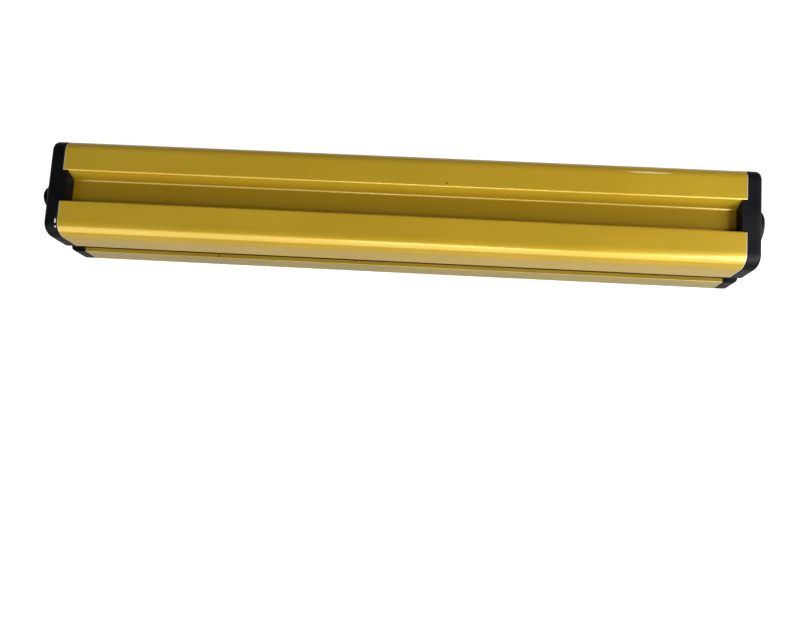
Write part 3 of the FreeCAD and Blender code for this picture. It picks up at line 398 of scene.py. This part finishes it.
def tinted_window():
    """Dark red tint that lets a little light through to the lenses."""
    tint = Shader("tinted_window")
    place, _ = tint.position()
    haze = tint.noise(place, scale=300.0, detail=3.0, stretch=(0.2, 1, 1))
    tint.set(
        Base_Color=tint.drift(haze, rgb(70, 12, 16), rgb(58, 8, 12)),
        Roughness=tint.ramp(haze, low=0.04, high=0.09),
        Transmission_Weight=0.55,
        IOR=ACRYLIC_IOR,
    )
    return tint.material


def clear_plastic():
    """Polished clear acrylic for the lenses and the light pipe."""
    clear = Shader("clear_plastic")
    place, _ = clear.position()
    haze = clear.noise(place, scale=500.0)
    clear.set(
        Base_Color=clear.mix(haze, rgb(236, 240, 243), rgb(224, 230, 235)),
        Roughness=clear.ramp(haze, low=0.02, high=0.06),
        Transmission_Weight=0.9,
        IOR=ACRYLIC_IOR,
    )
    return clear.material


def circuit_board():
    """Green solder mask with copper tracks showing through as lighter lines."""
    board = Shader("circuit_board")
    place, _ = board.position()
    cells = board.add("ShaderNodeTexBrick")
    board.put(cells.inputs["Vector"], place)
    board.put(cells.inputs["Scale"], 420.0)
    board.put(cells.inputs["Mortar Size"], 0.05)
    board.put(cells.inputs["Mortar Smooth"], 0.4)
    track = board.math("SUBTRACT", 1.0, cells.outputs["Fac"])
    patch = board.ramp(board.noise(place, scale=120.0), low=0.0, high=1.0, start=0.45, end=0.55)
    shown = board.math("MULTIPLY", track, patch)
    board.set(
        Base_Color=board.mix(shown, rgb(20, 92, 52), rgb(30, 110, 62)),
        Roughness=board.ramp(patch, low=0.3, high=0.4, start=0.0, end=1.0),
        Normal=board.bump(shown, distance=0.03 * MM, strength=0.4),
    )
    return board.material


# Two colours each, and for metals and plastics the lowest and highest roughness
RUBBERS = {
    "rubber": (rgb(20, 20, 20), rgb(30, 30, 30)),
    "gasket": (rgb(22, 20, 18), rgb(32, 30, 28)),
}
METALS = {
    "screw_steel": (rgb(188, 188, 192), rgb(150, 150, 156), 0.28, 0.42),
    "connector_metal": (rgb(44, 44, 46), rgb(60, 60, 62), 0.26, 0.38),
    "contact_brass": (rgb(226, 190, 110), rgb(200, 160, 84), 0.15, 0.28),
    "capacitor_can": (rgb(206, 206, 210), rgb(180, 180, 186), 0.22, 0.35),
}
PLASTICS = {
    "insert_plastic": (rgb(30, 30, 31), rgb(38, 38, 39), 0.35, 0.5),
    "plug_plastic": (rgb(226, 222, 206), rgb(212, 207, 190), 0.35, 0.5),
    "ribbon": (rgb(128, 128, 132), rgb(112, 112, 116), 0.35, 0.5),
    "carrier_plastic": (rgb(42, 42, 44), rgb(34, 34, 36), 0.5, 0.65),
    "chip_plastic": (rgb(34, 34, 35), rgb(44, 44, 45), 0.4, 0.55),
    "lamp_plastic": (rgb(236, 234, 222), rgb(226, 222, 208), 0.2, 0.3),
    "diode_plastic": (rgb(46, 30, 52), rgb(38, 24, 44), 0.08, 0.15),
}
FINISHES = {
    "yellow_paint": yellow_paint(),
    "black_plastic": black_plastic(),
    "tinted_window": tinted_window(),
    "clear_plastic": clear_plastic(),
    "circuit_board": circuit_board(),
}
for make, looks in ((rubber, RUBBERS), (metal, METALS), (plain_plastic, PLASTICS)):
    for name, look in looks.items():
        FINISHES[name] = make(name, *look)

slot_of = {part["node"]: part["material_slot"] for part in frame["record"]["subparts"]}
for name, node in frame["nodes"].items():
    node.data.materials.clear()
    node.data.materials.append(FINISHES[slot_of[name]])


# Connector shell with its thread


def thread_radius_at(x, turn):
    """Radius of the thread's surface at a place along the axis and round it, from 0 to 1."""
    phase = (x / THREAD_PITCH + turn) % 1
    climb = (abs(phase - 0.5) * 2 - THREAD_ROOT_SHARE) / THREAD_FLANK_SHARE
    return THREAD_RADIUS - THREAD_DEPTH * (1 - min(max(climb, 0), 1))


def shell_rings():
    """Places along the connector's axis, each with the radius all round, in one closed section."""
    tip, rear = shell_low.x, shell_high.x
    collar_back = seal_low.x
    collar_front = collar_back - COLLAR_THICKNESS
    collar = shell_high.y
    root = THREAD_RADIUS - THREAD_DEPTH

    def plain(x, radius):
        return x, [radius] * SHELL_STEPS

    def threaded(start, end):
        steps = int((end - start) / THREAD_PITCH * RINGS_PER_TURN)
        for k in range(steps + 1):
            x = start + (end - start) * k / steps
            edge = root + min(x - start, end - x)
            radii = [min(thread_radius_at(x, i / SHELL_STEPS), edge) for i in range(SHELL_STEPS)]
            yield x, radii

    return [
        plain(tip + SHELL_BEVEL, SHELL_BORE),
        plain(tip, SHELL_BORE + SHELL_BEVEL),
        *threaded(tip, collar_front),
        plain(collar_front, collar - SHELL_BEVEL),
        plain(collar_front + SHELL_BEVEL, collar),
        plain(collar_back - SHELL_BEVEL, collar),
        plain(collar_back, collar - SHELL_BEVEL),
        *threaded(collar_back, rear),
        plain(rear, SHELL_BORE + SHELL_BEVEL),
        plain(rear - SHELL_BEVEL, SHELL_BORE),
    ]


def make_connector_shell():
    """The turned shell: threaded stem, collar and bore, closed all round."""
    mesh = bmesh.new()
    axis_z = (shell_low.z + shell_high.z) / 2
    loops = []
    for x, radii in shell_rings():
        loop = []
        for i, radius in enumerate(radii):
            angle = 2 * math.pi * i / SHELL_STEPS
            y = radius * math.sin(angle)
            z = axis_z + radius * math.cos(angle)
            loop.append(mesh.verts.new((x, y, z)))
        loops.append(loop)
    for k, loop in enumerate(loops):
        following = loops[(k + 1) % len(loops)]
        for i in range(SHELL_STEPS):
            j = (i + 1) % SHELL_STEPS
            mesh.faces.new((loop[i], loop[j], following[j], following[i])).smooth = True
    bmesh.ops.remove_doubles(mesh, verts=mesh.verts, dist=WELD_DISTANCE)
    bmesh.ops.recalc_face_normals(mesh, faces=mesh.faces)
    data = bpy.data.meshes.new("threaded_shell")
    mesh.to_mesh(data)
    mesh.free()
    data.set_sharp_from_angle(angle=SHARP_ANGLE)
    piece = bpy.data.objects.new("threaded_shell", data)
    bpy.context.scene.collection.objects.link(piece)
    data.materials.append(FINISHES["connector_metal"])
    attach(piece, "root")
    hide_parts("connector_shell")


make_connector_shell()


# Camera, set where the edges in the photograph meet the solids' edges

PHOTO_WIDTH = 807
PHOTO_HEIGHT = 641
FOCAL_PIXELS = 571.7
CENTRE_X = 425.0
CENTRE_Y = 420.0
SENSOR_WIDTH = 36.0
CAMERA_PLACE = Vector((29.04, -133.53, 310.17)) * MM
CAMERA_TURN = Vector((0.08718, 0.02946, 0.05858))


def make_camera():
    """The photograph's camera, placed from the middle of the housing's length."""
    camera = bpy.data.objects.new("camera", bpy.data.cameras.new("camera"))
    bpy.context.scene.collection.objects.link(camera)
    turn = Matrix.Rotation(CAMERA_TURN.length, 3, CAMERA_TURN.normalized())
    bar_middle = Vector(((LEFT_END + RIGHT_END) / 2, 0, 0))
    camera.matrix_world = Matrix.Translation(bar_middle + CAMERA_PLACE) @ turn.to_4x4()
    camera.data.sensor_width = SENSOR_WIDTH
    camera.data.lens = SENSOR_WIDTH * FOCAL_PIXELS / PHOTO_WIDTH
    camera.data.shift_x = (PHOTO_WIDTH / 2 - CENTRE_X) / PHOTO_WIDTH
    camera.data.shift_y = (CENTRE_Y - PHOTO_HEIGHT / 2) / PHOTO_WIDTH
    camera.data.clip_start = 0.01
    bpy.context.scene.camera = camera


# Floor, world and lamps

FLOOR_REACH = 6.0
FLOOR_DROP = 0.05 * MM
FLOOR_GREY = (0.30, 0.30, 0.30, 1.0)
FLOOR_ROUGHNESS = 0.9
FLOOR_GLOW = 0.88
MIRRORED_GLOW = 0.15

# Strength of the world on the near side and behind the bar, and the directions' Y between which it fades
WORLD_NEAR = 0.16
WORLD_BEHIND = 0.08
WORLD_FADE = (-0.6, -0.1)
BACKDROP_GREY = (0.8, 0.8, 0.8, 1.0)

# Name, place, target, width, height and watts
LAMPS = [
    ("right_lamp", (0.68, -0.18, 0.57), (0.05, 0.0, 0.02), 0.8, 0.5, 10.0),
    ("front_lamp", (-0.10, -0.58, 0.48), (-0.05, 0.0, 0.02), 1.4, 0.62, 6.0),
    ("streak_lamp", (0.02, -0.44, 0.62), (0.02, 0.0, 0.02), 0.36, 0.05, 0.7),
]


def make_floor():
    """A floor that shows as white and keeps the bar's soft shadow."""
    mesh = bpy.data.meshes.new("floor")
    signs = [(-1, -1), (1, -1), (1, 1), (-1, 1)]
    corners = [(FLOOR_REACH * across, FLOOR_REACH * along, 0) for across, along in signs]
    mesh.from_pydata(corners, [], [(0, 1, 2, 3)])
    floor = bpy.data.objects.new("floor", mesh)
    bpy.context.scene.collection.objects.link(floor)
    floor.location.z = cad_low.z - FLOOR_DROP

    white = Shader("floor_white")
    white.set(Base_Color=FLOOR_GREY, Roughness=FLOOR_ROUGHNESS)
    rays = white.add("ShaderNodeLightPath").outputs
    mirrored = white.math("MAXIMUM", rays["Is Glossy Ray"], rays["Is Transmission Ray"])
    straight = white.math("MULTIPLY", rays["Is Camera Ray"], FLOOR_GLOW)
    glow = white.add("ShaderNodeEmission")
    white.put(glow.inputs["Color"], WHITE)
    level = white.math("MULTIPLY_ADD", mirrored, MIRRORED_GLOW, straight)
    white.put(glow.inputs["Strength"], level)
    both = white.add("ShaderNodeAddShader")
    white.link(white.surface.outputs[0], both.inputs[0])
    white.link(glow.outputs[0], both.inputs[1])
    white.link(both.outputs[0], white.tree.nodes["Material Output"].inputs["Surface"])
    floor.data.materials.append(white.material)


def make_world():
    """Soft light, brighter from the near side than from behind the bar, and a pale backdrop."""
    world = bpy.data.worlds.new("studio")
    bpy.context.scene.world = world
    studio = NodeTree(world)
    direction = studio.add("ShaderNodeTexCoord").outputs["Generated"]
    parts = studio.add("ShaderNodeSeparateXYZ")
    studio.link(direction, parts.inputs[0])
    light = studio.tree.nodes["Background"]
    studio.put(light.inputs["Color"], WHITE)
    level = studio.ramp(parts.outputs["Y"], WORLD_NEAR, WORLD_BEHIND, *WORLD_FADE)
    studio.put(light.inputs["Strength"], level)
    backdrop = studio.add("ShaderNodeBackground")
    studio.put(backdrop.inputs["Color"], BACKDROP_GREY)
    rays = studio.add("ShaderNodeLightPath")
    pick = studio.add("ShaderNodeMixShader")
    studio.link(rays.outputs["Is Camera Ray"], pick.inputs[0])
    studio.link(light.outputs[0], pick.inputs[1])
    studio.link(backdrop.outputs[0], pick.inputs[2])
    studio.link(pick.outputs[0], studio.tree.nodes["World Output"].inputs["Surface"])


def make_lamp(name, place, target, width, height, watts):
    """A soft box that faces a target."""
    data = bpy.data.lights.new(name, "AREA")
    data.shape = "RECTANGLE"
    data.size = width
    data.size_y = height
    data.energy = watts
    lamp = bpy.data.objects.new(name, data)
    bpy.context.scene.collection.objects.link(lamp)
    lamp.location = place
    lamp.rotation_mode = "QUATERNION"
    lamp.rotation_quaternion = (Vector(target) - Vector(place)).to_track_quat("-Z", "Y")


make_camera()
make_world()
make_floor()
for lamp in LAMPS:
    make_lamp(*lamp)
bpy.context.scene.view_settings.view_transform = "Standard"
